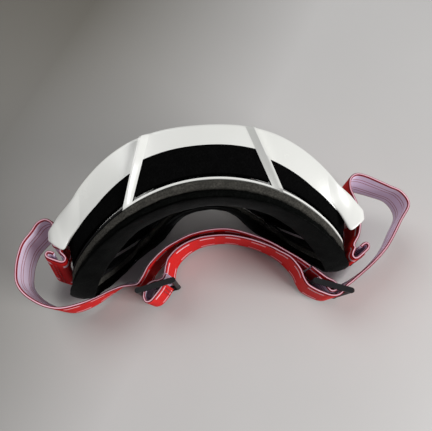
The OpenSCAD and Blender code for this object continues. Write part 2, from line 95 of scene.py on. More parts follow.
def start_material(name, roughness, ior=1.5):
    """A new material with its Principled shader, ready for the finish's own nodes."""
    made = bpy.data.materials.new(name)
    made.use_nodes = True
    shader = made.node_tree.nodes["Principled BSDF"]
    shader.inputs["Roughness"].default_value = roughness
    shader.inputs["IOR"].default_value = ior
    return made, made.node_tree, shader


def make_object(name, points, faces, finishes, smooth=True):
    """A mesh object from points in millimetres, with its list of materials."""
    mesh = bpy.data.meshes.new(name)
    mesh.from_pydata((np.asarray(points, float) * MM).tolist(), [], faces)
    mesh.update()
    for finish in finishes:
        mesh.materials.append(finish)
    if smooth:
        mesh.shade_smooth()
    made = bpy.data.objects.new(name, mesh)
    bpy.context.scene.collection.objects.link(made)
    return made


# Satin melamine table top: very faint mottling, and a soft sheen that mirrors the red webbing. A
# painted shadow greys it along SHADOW_WAY, between the two distances in SHADOW_RANGE, in metres.
SHADOW_WAY = (-0.85, 0.5, 0)
SHADOW_RANGE = (0.02, 0.2)
TABLE_HALF = 3000
TABLE_DROP = 0.05
table_finish, tree, shader = start_material("satin melamine", 0.38)
place = add(tree, "TexCoord")
mottle = add(tree, "TexNoise", {"Vector": place.outputs["Object"], "Scale": 9.0, "Detail": 4.0})
tone = add(tree, "Mix", {"Factor": mottle.outputs["Fac"]}, data_type="RGBA")
tone.inputs["A"].default_value = colour("#C6C4C2")
tone.inputs["B"].default_value = colour("#CECCCA")
# Painted shadow: the table is darkened to grey-brown towards the left and far side.
far = add(tree, "VectorMath", {0: place.outputs["Object"], 1: SHADOW_WAY}, operation="DOT_PRODUCT")
shade = add(tree, "MapRange", {"Value": far.outputs["Value"], "From Min": SHADOW_RANGE[0],
                               "From Max": SHADOW_RANGE[1]})
painted_shadow = add(tree, "Mix", {"Factor": shade.outputs["Result"]}, data_type="RGBA")
painted_shadow.inputs["B"].default_value = colour("#67635A")
tree.links.new(tone.outputs["Result"], painted_shadow.inputs[6])
tree.links.new(painted_shadow.outputs["Result"], shader.inputs["Base Color"])
table = make_object("table", [(x * TABLE_HALF, y * TABLE_HALF, -TABLE_DROP) for x, y in
                              ((-1, -1), (1, -1), (1, 1), (-1, 1))],
                    [(0, 1, 2, 3)], [table_finish])


def add_lamp(name, power, width, height, place, target):
    """A rectangular lamp of the studio, aimed at a point of the object."""
    data = bpy.data.lights.new(name, "AREA")
    data.energy = power
    data.shape = "RECTANGLE"
    data.size = width
    data.size_y = height
    lamp = bpy.data.objects.new(name, data)
    lamp.location = place
    lamp.rotation_euler = (Vector(target) - Vector(place)).to_track_quat("-Z", "Y").to_euler()
    bpy.context.scene.collection.objects.link(lamp)


add_lamp("window", 16, 0.7, 0.6, (1.0, -0.55, 0.72), (0, 0.02, 0.04))
add_lamp("ceiling", 12, 0.9, 0.9, (-0.75, 0.7, 1.55), (0, 0, 0.03))
room = bpy.data.worlds.new("room")
bpy.context.scene.world = room
room.use_nodes = True
room.node_tree.nodes["Background"].inputs["Color"].default_value = colour("#F2F4F8")
room.node_tree.nodes["Background"].inputs["Strength"].default_value = 0.2


# Frame
# One flexible moulding in glossy white thermoplastic. The front rim holds the lens in a groove, a
# broad band runs behind it, and two slanting ribs cross the open vents to the thin face flange.
RIM_WIDTH = 186
RIM_HEIGHT = 98
RIM_FRONT = 77
RIM_BOW = 54
FLANGE_FRONT = 44
FLANGE_BOW = 42
FLANGE_SKEW = 3
FLANGE_WIDTH = 176
WALL = 2.5
LIP = 7
GROOVE = 4.8
FLANGE_THICK = 2
RIB_RISE = 3
FOAM_WIDTH = 16
# Where the band ends, from the rim to the flange: it widens beyond the ribs, towards the wings
BAND_STATION = (0, 1.9, 2.2, 3, 4, 5, 6, 7, 7.5, 17)
BAND_END = (0.38, 0.38, 0.49, 0.53, 0.58, 0.57, 0.52, 0.4, 0.38, 0.38)
# How far the ribs stand off station 2 at their two ends, on the left (-1) and on the right (1)
RIB_LEAN_RIM = {-1: 0.08, 1: -0.16}
RIB_LEAN_FLANGE = {-1: 0.14, 1: 0}
SIDE_TOP = 6
SIDE_LOW = 9.8

# Half outlines from the middle of the forehead to the middle of the nose arch, as shares of the
# half width and of the height
RIM_HALF = [
    (0, 1), (0.17, 0.995), (0.33, 0.985), (0.50, 0.965), (0.67, 0.925), (0.82, 0.865),
    (0.93, 0.78), (0.985, 0.66), (1, 0.50), (0.97, 0.34), (0.885, 0.19), (0.76, 0.08),
    (0.60, 0.015), (0.455, 0.008), (0.345, 0.12), (0.24, 0.29), (0.13, 0.405), (0, 0.44),
]
FLANGE_HALF = [
    (0, 0.965), (0.24, 0.955), (0.48, 0.925), (0.625, 0.885), (0.75, 0.825), (0.865, 0.74),
    (0.95, 0.635), (0.995, 0.52), (0.985, 0.40), (0.92, 0.27), (0.82, 0.14), (0.69, 0.045),
    (0.56, 0.01), (0.43, 0.025), (0.33, 0.14), (0.235, 0.31), (0.135, 0.43), (0, 0.475),
]
HALF = len(RIM_HALF) - 1


def spline(a, b, c, d, t):
    """A Catmull-Rom curve's point between b and c."""
    return 0.5 * (2 * b + (c - a) * t + (2 * a - 5 * b + 4 * c - d) * t ** 2
                  + (3 * b - a - 3 * c + d) * t ** 3)


def unit(v):
    return v / np.linalg.norm(v)


def ease(t):
    t = min(1, max(0, t))
    return t * t * (3 - 2 * t)


def half_station(s):
    return 2 * HALF - s if s > HALF else s


def half_point(half, k):
    if k < 0:
        return np.array((-half[-k][0], half[-k][1]), float)
    if k > HALF:
        return np.array((-half[2 * HALF - k][0], half[2 * HALF - k][1]), float)
    return np.array(half[k], float)


def outline(half, s):
    q = half_station(s)
    k = min(math.floor(q), HALF - 1)
    p = spline(*(half_point(half, k + i) for i in (-1, 0, 1, 2)), q - k)
    return np.array((-p[0] if s > HALF else p[0], p[1]))


def rim_point(s):
    x, z = outline(RIM_HALF, s)
    y = RIM_FRONT - RIM_BOW * min(1.04, abs(x)) ** 2.65
    return np.array((x * RIM_WIDTH / 2, y, z * RIM_HEIGHT))


def flange_point(s):
    x, z = outline(FLANGE_HALF, s)
    y = FLANGE_FRONT - FLANGE_BOW * abs(x) ** 2.05 + FLANGE_SKEW * x
    return np.array((x * FLANGE_WIDTH / 2, y, z * RIM_HEIGHT))


class Station:
    """One cut across the frame, with the directions that its walls follow."""

    def __init__(self, s):
        step = 0.15
        self.s = s % (2 * HALF)
        self.q = half_station(self.s)
        side = -1 if self.s > HALF else 1
        near_rib = side * ease((self.q - 0.4) / 1.5) * ease((4.2 - self.q) / 1.9)
        self.rim = rim_point(self.s + near_rib * RIB_LEAN_RIM[side])
        self.flange = flange_point(self.s + near_rib * RIB_LEAN_FLANGE[side])
        before, after = (self.s - step) % (2 * HALF), (self.s + step) % (2 * HALF)
        along_flange = flange_point(after) - flange_point(before)
        along = rim_point(after) - rim_point(before) + along_flange
        self.out = unit(np.cross(self.flange - self.rim, along))
        self.to_face = unit(np.array((0.12 * self.flange[0] / (FLANGE_WIDTH / 2), -1, 0)))
        self.inward = unit(np.cross(along_flange, self.to_face))
        self.band = np.interp(self.q, BAND_STATION, BAND_END)
        self.width = FOAM_WIDTH * np.interp(
            self.q, (0, 7, 11, 13, 15, 17), (1, 0.95, 0.85, 0.6, 0.42, 0.42))
        self.share = np.interp(self.q, (0, 11, 13.4, 15, 17), (1, 1, 0.75, 0.45, 0.4))
        self.dip = -4 * ease((self.q - SIDE_TOP) / 0.8) * ease((SIDE_LOW - self.q) / 0.8)

    def shell(self, u, offset):
        """A point of the wall: u runs from rim to flange, offset is outward."""
        return self.rim * (1 - u) + self.flange * u + offset * self.out

    def face(self, depth, inward):
        """A point of the face side: depth is towards the face, inward from the flange's edge."""
        return self.flange + depth * self.to_face + inward * self.inward


RIB_FOOT, RIB_TOP, RIB_EDGE, RIB_OUT = 1.86, 2.12, 2.21, 2.26


def rib_share(q):
    return float(np.interp(q, (RIB_FOOT, RIB_TOP, RIB_EDGE, RIB_OUT), (0, 1, 1, 0)))


def frame_rows(st):
    """The outer and the inner point of each row, from the rim's front edge to the foam's edge."""
    r = RIB_RISE * rib_share(st.q)
    g = st.dip
    band = [(0.24 + (st.band - 0.24) * f, g * share, -WALL + g)
            for f, share in ((0, 1 / 3), (0.25, 0.6), (0.5, 0.85), (1, 1))]
    return [
        (st.shell(0.002, -1 + r / 3), st.shell(0.005, -LIP + 1)),
        (st.shell(0.010, -0.3 + r * 0.6), st.shell(0.012, -LIP + 0.2)),
        (st.shell(0.025, r * 0.8), st.shell(0.02, -LIP)),
        (st.shell(0.05, r), st.shell(0.05, -LIP)),
        (st.shell(0.09, r), st.shell(0.055, -GROOVE)),
        (st.shell(0.14, r), st.shell(0.145, -GROOVE)),
        (st.shell(0.17, r), st.shell(0.15, -LIP)),
        (st.shell(0.20, r), st.shell(0.19, -LIP)),
    ] + [(st.shell(u, r + a), st.shell(u - 0.01, b)) for u, a, b in band] + [
        (st.shell(0.965, r * 0.6 + g / 2), st.shell(0.95, -WALL + g / 2)),
        (st.face(0, 0), st.face(-FLANGE_THICK, WALL)),
        (st.face(0, st.width), st.face(-FLANGE_THICK, st.width)),
    ]


# The row that the vents open, the first row of black liner, and where the lower vents start
VENT_ROW = 11
LINER_ROW = 6
VENT_LOW = 10.1
# Left of this station the flange's outer edge is black too, because the foam laps over it
LAP_START = 2.3


def vent_open(s):
    q = half_station(s)
    return q < RIB_FOOT or RIB_OUT - 0.01 < q < SIDE_TOP + 0.4 or VENT_LOW < q < 12.4


def frame_stations():
    half = [s for s in np.arange(0, HALF + 0.01, 0.1)
            if not RIB_FOOT - 0.07 < s < RIB_OUT + 0.05]
    half = sorted(half + [RIB_FOOT, RIB_TOP, RIB_EDGE, RIB_OUT, RIB_FOOT + 0.09, RIB_FOOT + 0.18])
    return half + [2 * HALF - s for s in half[-2:0:-1]]


def frame_mesh():
    stations = frame_stations()
    rows = [frame_rows(Station(s)) for s in stations]
    count, depth = len(rows), len(rows[0])
    points = [side for station in rows for pair in station for side in pair]

    def at(i, j, k):
        return ((i % count) * depth + j) * 2 + k

    def kept(i, j):
        if not 0 <= j < depth - 1:
            return False
        i %= count
        after = stations[i + 1] if i + 1 < count else 2 * HALF
        return not (j == VENT_ROW and vent_open((stations[i] + after) / 2))

    faces, black = [], []
    for i in range(count):
        for j in range(depth - 1):
            if not kept(i, j):
                continue
            q = half_station(stations[i])
            side_wall = j == VENT_ROW and SIDE_TOP < q < VENT_LOW
            side_wall |= j > VENT_ROW and stations[i] > HALF and q > LAP_START
            inside = j >= LINER_ROW
            faces.append((at(i, j, 0), at(i, j + 1, 0), at(i + 1, j + 1, 0), at(i + 1, j, 0)))
            black.append(side_wall)
            faces.append((at(i, j, 1), at(i + 1, j, 1), at(i + 1, j + 1, 1), at(i, j + 1, 1)))
            black.append(inside)
            if not kept(i, j - 1):
                faces.append((at(i, j, 0), at(i + 1, j, 0), at(i + 1, j, 1), at(i, j, 1)))
                black.append(inside)
            if not kept(i, j + 1):
                faces.append((at(i, j + 1, 0), at(i, j + 1, 1), at(i + 1, j + 1, 1),
                              at(i + 1, j + 1, 0)))
                black.append(inside)
            if not kept(i - 1, j):
                faces.append((at(i, j, 0), at(i, j, 1), at(i, j + 1, 1), at(i, j + 1, 0)))
                black.append(inside)
            if not kept(i + 1, j):
                faces.append((at(i + 1, j, 0), at(i + 1, j + 1, 0), at(i + 1, j + 1, 1),
                              at(i + 1, j, 1)))
                black.append(inside)
    return points, faces, black


# Thermoplastic polyurethane, moulded and glossy white: a clear gloss with a faint ripple, and
# fine dust and scuffs that dull it here and there
white_plastic, tree, shader = start_material("moulded white polyurethane", 0.22, 1.5)
place = add(tree, "TexCoord")
scuff = add(tree, "TexNoise", {"Vector": place.outputs["Object"], "Scale": 60.0, "Detail": 6.0,
                               "Roughness": 0.65})
dull = add(tree, "MapRange", {"Value": scuff.outputs["Fac"], "From Min": 0.45, "From Max": 0.75,
                              "To Min": 0.16, "To Max": 0.34})
tree.links.new(dull.outputs["Result"], shader.inputs["Roughness"])
tone = add(tree, "Mix", {"Factor": scuff.outputs["Fac"]}, data_type="RGBA")
tone.inputs["A"].default_value = colour("#EDEDE9")
tone.inputs["B"].default_value = colour("#E7E7E1")
tree.links.new(tone.outputs["Result"], shader.inputs["Base Color"])
ripple = add(tree, "TexNoise", {"Vector": place.outputs["Object"], "Scale": 35.0, "Detail": 1.0})
bump = add(tree, "Bump", {"Height": ripple.outputs["Fac"], "Strength": 0.08, "Distance": 0.002})
tree.links.new(bump.outputs["Normal"], shader.inputs["Normal"])

# The same polyurethane in black, moulded first as the frame's inner layer: a fine matt spark grain
black_liner, tree, shader = start_material("moulded black polyurethane", 0.7, 1.5)
shader.inputs["Specular IOR Level"].default_value = 0.2
place = add(tree, "TexCoord")
spark = add(tree, "TexNoise", {"Vector": place.outputs["Object"], "Scale": 1300.0, "Detail": 3.0})
tone = add(tree, "Mix", {"Factor": spark.outputs["Fac"]}, data_type="RGBA")
tone.inputs["A"].default_value = colour("#030304")
tone.inputs["B"].default_value = colour("#080809")
tree.links.new(tone.outputs["Result"], shader.inputs["Base Color"])
bump = add(tree, "Bump", {"Height": spark.outputs["Fac"], "Strength": 0.4, "Distance": 0.0002})
tree.links.new(bump.outputs["Normal"], shader.inputs["Normal"])

points, faces, black = frame_mesh()
moulding = make_object("frame_moulding", points, faces, [white_plastic, black_liner])
moulding.data.polygons.foreach_set("material_index", [int(b) for b in black])


def round_edges(piece, width, segments=2, angle=35):
    """Rounds the sharp edges of a moulded or turned piece."""
    bevel = piece.modifiers.new("rounded edges", "BEVEL")
    bevel.width = width * MM
    bevel.segments = segments
    bevel.limit_method = "ANGLE"
    bevel.angle_limit = math.radians(angle)
    bevel.harden_normals = True


round_edges(moulding, 0.35)
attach(moulding, "goggles")
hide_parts("frame")


# Strap wings
# Part of the same moulding: on each side the band widens into a roof over the webbing, curls down
# as a plate that bridges it, and runs back into the band underneath.
WING_THICK = 2.6
# Steps between two sections, and how often the sheet is averaged along its run
WING_STEPS = 6
WING_EASE = 14
WING_ACROSS = (-1, -0.95, -0.82, -0.5, -0.17, 0.17, 0.5, 0.82, 0.95, 1)
# Rear edge, front edge and thickness of the wing, from the roof down the plate and under it
WING_EDGES = [
    ((84.3, 17.3, 72.6), (88.4, 34.8, 75.6), 1), ((86.2, 12.6, 72.4), (91.2, 31.4, 74.2), 1),
    ((90.2, 14.4, 72.1), (93.2, 29, 73), 1), ((93.6, 17.4, 71.8), (95, 26.6, 71.9), 1),
    ((96.2, 20, 69.4), (96.4, 25.2, 69.4), 1), ((97.2, 19.6, 62), (97.2, 26.4, 62), 1),
    ((97.5, 18.8, 50), (97.5, 28, 50), 1), ((97.5, 18.2, 38), (97.5, 29, 38), 1),
    ((97.3, 17.6, 30), (97.3, 29.8, 30), 1), ((95.5, 17.5, 25.8), (95.8, 31, 25.6), 1),
    ((91.5, 20.8, 22.8), (92.2, 34.6, 22.4), 1),
]
# Where its two roots lie in the band, how deep and how thick
WING_ROOT_TOP = [(4.3, 1.1, 0.5), (4.9, 0.7, 0.6), (5.4, 0, 0.7)]
WING_ROOT_LOW = [(10.3, 0.8, 0.8), (10.8, 1.1, 0.5)]


def curve_at(points, t):
    """A point at t of the smooth curve through the points, t counted in points."""
    k = int(min(max(math.floor(t), 0), len(points) - 2))
    last = len(points) - 1
    near = [np.array(points[min(max(k + i, 0), last)], float) for i in (-1, 0, 1, 2)]
    return spline(*near, t - k)


def wing_mesh(side):
    """The wing as a closed sheet: each section runs from its rear edge to its front edge."""
    def root(s, sink, share):
        st = Station(s if side > 0 else 2 * HALF - s)
        ends = st.shell(st.band - 0.015, st.dip - sink), st.shell(0.012, -sink)
        return np.concatenate([*ends, [share]])

    cuts = [root(*entry) for entry in WING_ROOT_TOP]
    cuts += [np.array((side * a[0], *a[1:], side * b[0], *b[1:], share))
             for a, b, share in WING_EDGES]
    cuts += [root(*entry) for entry in WING_ROOT_LOW]
    cuts = [curve_at(cuts, i / WING_STEPS) for i in range((len(cuts) - 1) * WING_STEPS + 1)]
    grid = np.array([[f[:3] * (1 - v) / 2 + f[3:6] * (1 + v) / 2 for v in WING_ACROSS]
                     for f in cuts])
    for _ in range(WING_EASE):
        grid[1:-1] = grid[1:-1] / 2 + grid[:-2] / 4 + grid[2:] / 4
    along = np.gradient(grid, axis=0)
    across = np.gradient(grid, axis=1)
    normal = np.cross(across, along) * side
    normal /= np.linalg.norm(normal, axis=2, keepdims=True)
    edge = np.array([0.3 if abs(v) == 1 else 0.75 if abs(v) > 0.9 else 1 for v in WING_ACROSS])
    half = WING_THICK / 2 * (np.array([f[6] for f in cuts])[:, None] * edge[None])[..., None]
    ring = np.concatenate([grid + normal * half, (grid - normal * half)[:, ::-1]], axis=1)
    return ring.reshape(-1, 3), closed_grid(ring)


def closed_grid(rings):
    """Faces between rings of equally many points, with both ends capped."""
    n, m = len(rings), len(rings[0])
    faces = [(i * m + j, i * m + (j + 1) % m, (i + 1) * m + (j + 1) % m, (i + 1) * m + j)
             for i in range(n - 1) for j in range(m)]
    return faces + [tuple(range(m - 1, -1, -1)), tuple((n - 1) * m + j for j in range(m))]


def face_outward(piece):
    """Turns every face of a closed piece outward."""
    work = bmesh.new()
    work.from_mesh(piece.data)
    bmesh.ops.recalc_face_normals(work, faces=work.faces)
    work.to_mesh(piece.data)
    work.free()


def soften(piece, levels=1):
    """Rounds a piece with a subdivision surface."""
    surface = piece.modifiers.new("soft form", "SUBSURF")
    surface.levels = levels
    surface.render_levels = levels


for side, word in ((-1, "left"), (1, "right")):
    wing = make_object("strap_wing_" + word, *wing_mesh(side), [white_plastic])
    face_outward(wing)
    soften(wing)
    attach(wing, "goggles")


# Lens and tear-off posts
# The lens is a sheet of clear polycarbonate, bent into the rim's groove. Two small acetal studs
# through it hold stacks of tear-off film.
clear_sheet, tree, shader = start_material("clear polycarbonate", 0.02, 1.585)
shader.inputs["Base Color"].default_value = colour("#F4F6F6")
shader.inputs["Transmission Weight"].default_value = 1.0
place = add(tree, "TexCoord")
haze = add(tree, "TexNoise", {"Vector": place.outputs["Object"], "Scale": 45.0, "Detail": 5.0})
wiped = add(tree, "MapRange", {"Value": haze.outputs["Fac"], "From Min": 0.5, "From Max": 0.8,
                               "To Min": 0.02, "To Max": 0.12})
tree.links.new(wiped.outputs["Result"], shader.inputs["Roughness"])

acetal, tree, shader = start_material("turned acetal", 0.35, 1.48)
place = add(tree, "TexCoord")
grain = add(tree, "TexNoise", {"Vector": place.outputs["Object"], "Scale": 900.0, "Detail": 3.0})
tone = add(tree, "Mix", {"Factor": grain.outputs["Fac"]}, data_type="RGBA")
tone.inputs["A"].default_value = colour("#D8D8D4")
tone.inputs["B"].default_value = colour("#C8C8C4")
tree.links.new(tone.outputs["Result"], shader.inputs["Base Color"])
bump = add(tree, "Bump", {"Height": grain.outputs["Fac"], "Strength": 0.15, "Distance": 0.0003})
tree.links.new(bump.outputs["Normal"], shader.inputs["Normal"])


def dress(node, finish):
    """Gives a CAD node that stays as it is its finish."""
    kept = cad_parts[node]
    kept.data.materials.clear()
    kept.data.materials.append(finish)
    kept.data.shade_smooth()
    sharp = kept.modifiers.new("crisp edges", "EDGE_SPLIT")
    sharp.split_angle = math.radians(32)


dress("lens", clear_sheet)
dress("tear_off_post_left", acetal)
dress("tear_off_post_right", acetal)


# Vent foam
# Thin open-cell polyurethane foam, black, glued behind each opening. It keeps dust out and lets
# air through, and it bulges a little between the ribs.
VENT_THICK = 3
VENT_ROWS = [0, 0.015, 0.1, 0.25, 0.4, 0.55, 0.7, 0.87, 0.985, 1]
VENT_STEPS = [0, 0.004, *np.linspace(0.02, 0.98, 57), 0.996, 1]
VENTS = {"top_center": (-1.87, 1.87), "top_right": (2.26, 6.3), "bottom_right": (10, 12.5),
         "top_left": (2 * HALF - 6.3, 2 * HALF - 2.26),
         "bottom_left": (2 * HALF - 12.5, 2 * HALF - 10)}


def foam_finish(name, dark, light, cell, sheen):
    """Open-cell foam: tiny pits between pale cell walls, drawn at the cell's size in mm."""
    made, tree, shader = start_material(name, 0.95, 1.45)
    place = add(tree, "TexCoord")
    cells = add(tree, "TexVoronoi", {"Vector": place.outputs["Object"], "Scale": 1000 / cell})
    clumps = add(tree, "TexNoise", {"Vector": place.outputs["Object"], "Scale": 220 / cell,
                                    "Detail": 4.0})
    mixed = add(tree, "Math", {0: cells.outputs["Distance"], 1: clumps.outputs["Fac"]},
                operation="MULTIPLY")
    tone = add(tree, "MapRange", {"Value": mixed.outputs["Value"], "From Min": 0.05,
                                  "From Max": 0.5})
    mix = add(tree, "Mix", {"Factor": tone.outputs["Result"]}, data_type="RGBA")
    mix.inputs["A"].default_value = colour(dark)
    mix.inputs["B"].default_value = colour(light)
    tree.links.new(mix.outputs["Result"], shader.inputs["Base Color"])
    pits = add(tree, "Bump", {"Height": mixed.outputs["Value"], "Strength": 0.7,
                              "Distance": 0.0006})
    tree.links.new(pits.outputs["Normal"], shader.inputs["Normal"])
    shader.inputs["Sheen Weight"].default_value = sheen
    shader.inputs["Specular IOR Level"].default_value = 0.06
    return made


# Black polyurethane foam, knife-cut: matt, with open cells of about a millimetre
vent_black = foam_finish("cut black vent foam", "#020202", "#080808", 1.0, 0)


def vent_mesh(first, last):
    rings = []
    for t in VENT_STEPS:
        st = Station(first + (last - first) * t)
        outer, inner = [], []
        for v in VENT_ROWS:
            u = st.band - 0.01 + v * (0.9 - st.band)
            swell = 0.6 * (4 * v * (1 - v)) ** 0.5 * (4 * t * (1 - t)) ** 0.3
            base = -0.9 + st.dip
            ripple = 0.3 * noise.noise(Vector(st.shell(u, 0)) * 0.22) * min(1, 8 * v * (1 - v))
            outer.append(st.shell(u, base + swell + ripple))
            inner.append(st.shell(u, -WALL - VENT_THICK + st.dip - swell * 0.3))
        rings.append(outer + inner[::-1])
    return np.array(rings).reshape(-1, 3), closed_grid(rings)


for word, (first, last) in VENTS.items():
    vent = make_object("vent_foam_" + word + "_sheet", *vent_mesh(first, last), [vent_black])
    face_outward(vent)
    soften(vent)
    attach(vent, "goggles")
    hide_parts("vent_foam_" + word)


# Face foam
# Two glued layers of polyurethane foam on the flange: a firm grey one, then a soft black one that
# closes the gap to the face.
FIRM = 5.5
SOFT = 5
firm_grey = foam_finish("cut grey foam", "#2F2E2B", "#4C4A45", 1.1, 0)
soft_black = foam_finish("cut black face foam", "#020302", "#0B0C0B", 1.1, 0)


def ring_mesh(section, step=0.25):
    """A closed ring round the face side, from a function that gives a station's section."""
    rings = [section(Station(s)) for s in np.arange(0, 2 * HALF, step)]
    n, m = len(rings), len(rings[0])
    faces = [(i * m + j, i * m + (j + 1) % m, (i + 1) % n * m + (j + 1) % m, (i + 1) % n * m + j)
             for i in range(n) for j in range(m)]
    return np.array(rings).reshape(-1, 3), faces


def layer_section(low, high, pinch, crown):
    """The cut of one foam layer: sides drawn in, a crowned top and crisp lower corners."""
    def section(st):
        d0, d1, w = low * st.share + 0.45, high * st.share, st.width
        rise = d1 - d0
        shape = [(0, w - 0.2), (0.06, w), (0.3, w - pinch * 0.8), (0.6, w - pinch),
                 (0.88, w - pinch * 0.5), (1, w - 1.3 - pinch), (1, w * 0.75), (1, w * 0.5),
                 (1, w * 0.25), (1, 1.3 + pinch), (0.88, pinch * 0.5), (0.6, pinch),
                 (0.3, pinch * 0.8), (0.06, 0), (0, 0.2), (0, w * 0.5)]
        cut = []
        for up, across in shape:
            v = across / w
            bulge = crown * st.share * 4 * v * (1 - v) if up == 1 else 0
            cut.append(st.face(d0 + rise * up + bulge, across))
        return cut
    return section


def wander(piece, size, amount):
    """Moves each point along its normal by smooth noise of that size, both in mm."""
    mesh = piece.data
    for vertex in mesh.vertices:
        push = noise.noise(vertex.co / (size * MM)) * amount * MM
        vertex.co = vertex.co + vertex.normal * push


def foam_layer(name, low, high, pinch, crown, finish):
    layer = make_object(name + "_ring", *ring_mesh(layer_section(low, high, pinch, crown)),
                        [finish])
    face_outward(layer)
    return layer


def settle(piece, voxel, pressure, cap):
    """Blows a padded piece up a little with simulated cloth, no point further than cap in mm."""
    remesh = piece.modifiers.new("even mesh", "REMESH")
    remesh.mode = "VOXEL"
    remesh.voxel_size = voxel * MM
    bake(piece)
    rest = np.array([v.co for v in piece.data.vertices])
    cloth = piece.modifiers.new("cloth", "CLOTH")
    cloth.settings.use_pressure = True
    cloth.settings.uniform_pressure_force = pressure
    cloth.settings.effector_weights.gravity = 0
    for number in range(1, 21):
        bpy.context.scene.frame_set(number)
    bake(piece)
    bpy.context.scene.frame_set(1)
    moved = np.array([v.co for v in piece.data.vertices]) - rest
    far = np.linalg.norm(moved, axis=1, keepdims=True)
    moved *= np.minimum(1, cap * MM / np.maximum(far, 1e-9))
    piece.data.vertices.foreach_set("co", (rest + moved).ravel())
    piece.data.update()
    piece.data.shade_smooth()


def bake(piece):
    """Applies a piece's modifiers to its mesh."""
    graph = bpy.context.evaluated_depsgraph_get()
    made = bpy.data.meshes.new_from_object(piece.evaluated_get(graph))
    piece.modifiers.clear()
    piece.data = made


firm_layer = foam_layer("face_foam_firm", 0, FIRM, 0.5, 0.01, firm_grey)
soften(firm_layer)
bake(firm_layer)
wander(firm_layer, 7, 0.25)
soft_layer = foam_layer("face_foam_soft", FIRM, FIRM + SOFT, 0.5, 0.6, soft_black)
settle(soft_layer, 1.6, 4, 0.35)
soften(soft_layer)
bake(soft_layer)
wander(soft_layer, 9, 0.3)
for layer, node, slot, fill in ((firm_layer, "face_foam_firm", "firm_foam", 0.8),
                                (soft_layer, "face_foam_soft", "soft_foam", 0.6)):
    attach(layer, "goggles")
    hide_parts(node)


# Fleece lining
# Brushed polyester fleece, black, glued over the soft foam where it touches the face. It takes up
# sweat, and its nap catches a little light.
FLEECE = 1.4


def fleece_section(st):
    top, foam, w = (FIRM + SOFT + FLEECE) * st.share, (FIRM + SOFT) * st.share, st.width
    gap = 0.5
    edge, crown = foam - 0.3 * st.share + gap, foam + 0.6 * st.share + gap
    lining = [(edge, 0.25), (foam + gap, 2), (crown, w / 2), (foam + gap, w - 2), (edge, w - 0.25)]
    nap = [(top - 0.7, w + 0.4), (top - 0.1, w - 0.7), (top + 0.2, w - 2.2), (top + 0.7, w * 0.7),
           (top + 0.9, w / 2), (top + 0.7, w * 0.3), (top + 0.2, 2.2), (top - 0.1, 0.7),
           (top - 0.7, -0.4)]
    return [st.face(*p) for p in nap + lining]


fleece_black, tree, shader = start_material("brushed black fleece", 1.0, 1.4)
place = add(tree, "TexCoord")
nap = add(tree, "TexNoise", {"Vector": place.outputs["Object"], "Scale": 700.0, "Detail": 6.0,
                             "Roughness": 0.75})
tufts = add(tree, "TexNoise", {"Vector": place.outputs["Object"], "Scale": 130.0, "Detail": 3.0})
both = add(tree, "Math", {0: nap.outputs["Fac"], 1: tufts.outputs["Fac"]}, operation="MULTIPLY")
tone = add(tree, "MapRange", {"Value": both.outputs["Value"], "From Min": 0.12, "From Max": 0.42})
mix = add(tree, "Mix", {"Factor": tone.outputs["Result"]}, data_type="RGBA")
mix.inputs["A"].default_value = colour("#020202")
mix.inputs["B"].default_value = colour("#0B0C0B")
tree.links.new(mix.outputs["Result"], shader.inputs["Base Color"])
bump = add(tree, "Bump", {"Height": both.outputs["Value"], "Strength": 0.8, "Distance": 0.0008})
tree.links.new(bump.outputs["Normal"], shader.inputs["Normal"])
shader.inputs["Sheen Weight"].default_value = 0.04
shader.inputs["Sheen Roughness"].default_value = 0.5
shader.inputs["Specular IOR Level"].default_value = 0.05

fleece = make_object("face_fleece_lining", *ring_mesh(fleece_section), [fleece_black])
face_outward(fleece)
soften(fleece, 1)
bake(fleece)
wander(fleece, 6, 0.35)
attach(fleece, "goggles")
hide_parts("face_fleece")


# Strap
# Elastic polyester webbing, 40 mm wide, woven red with pale dashes outside and pale lilac with
# thin stripes inside. Its selvage is dark red and its very edge shows the pale core. Each piece
# starts in a sewn stop behind a wing and ends in a loop round a slider bar.
STRAP_WIDTH = 40
STRAP_THICK = 1.7
HIGH = 29
LOW = 4
WAY = 94.65
# Each point holds x, y and z of the lower edge, then how far the top edge leans in x and in y
STOP_FOLD = [
    (2.2, 1.6), (4.3, 1.6), (6, 0.9), (6.2, -0.8), (4.5, -2), (0, -2.2),
    (-4.5, -2), (-6.2, -0.8), (-6, 1.1), (-4.2, 2.4), (-1.6, 3.5), (-0.3, 5.6),
]


def stop_points(middle, along, lean, height):
    side = math.copysign(1, along[0])
    return [(middle[0] + along[0] * p - abs(along[1]) * side * q,
             middle[1] + along[1] * p + abs(along[0]) * q, height, *lean) for p, q in STOP_FOLD]


